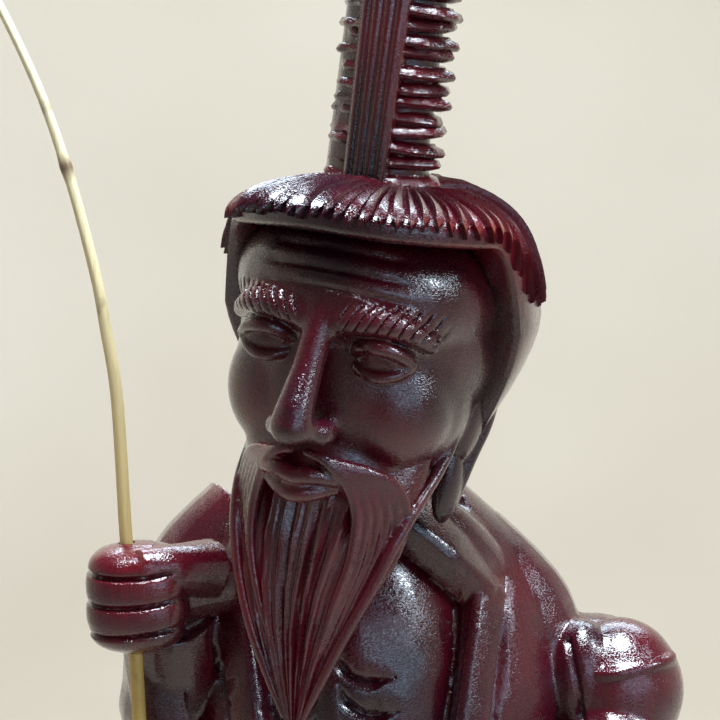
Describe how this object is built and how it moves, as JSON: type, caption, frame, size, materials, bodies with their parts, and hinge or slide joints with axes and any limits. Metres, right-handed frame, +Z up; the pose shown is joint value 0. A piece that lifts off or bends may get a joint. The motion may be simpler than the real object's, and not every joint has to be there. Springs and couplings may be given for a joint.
{
  "type": "wooden fisherman sculpture",
  "caption": "Carved hardwood figure of a bearded old fisherman in a sashed robe, on a low rock base, with a bamboo rod through his fist.",
  "frame": {"origin": "middle of the flat underside of the base", "axes": "+Z up, the figure faces -Y, and its right hand with the rod is on the -X side"},
  "size_m": [0.1613, 0.0957, 0.364],
  "materials": {
    "stained_wood": "dark red-brown stain under a glossy lacquer, worn to orange on the high points",
    "bamboo": "bare dry bamboo twig, pale yellow-tan with brown knots"
  },
  "bodies": {
    "root": {"carved_figure": "stained_wood", "bamboo_rod": "bamboo"}
  },
  "joints": []
}
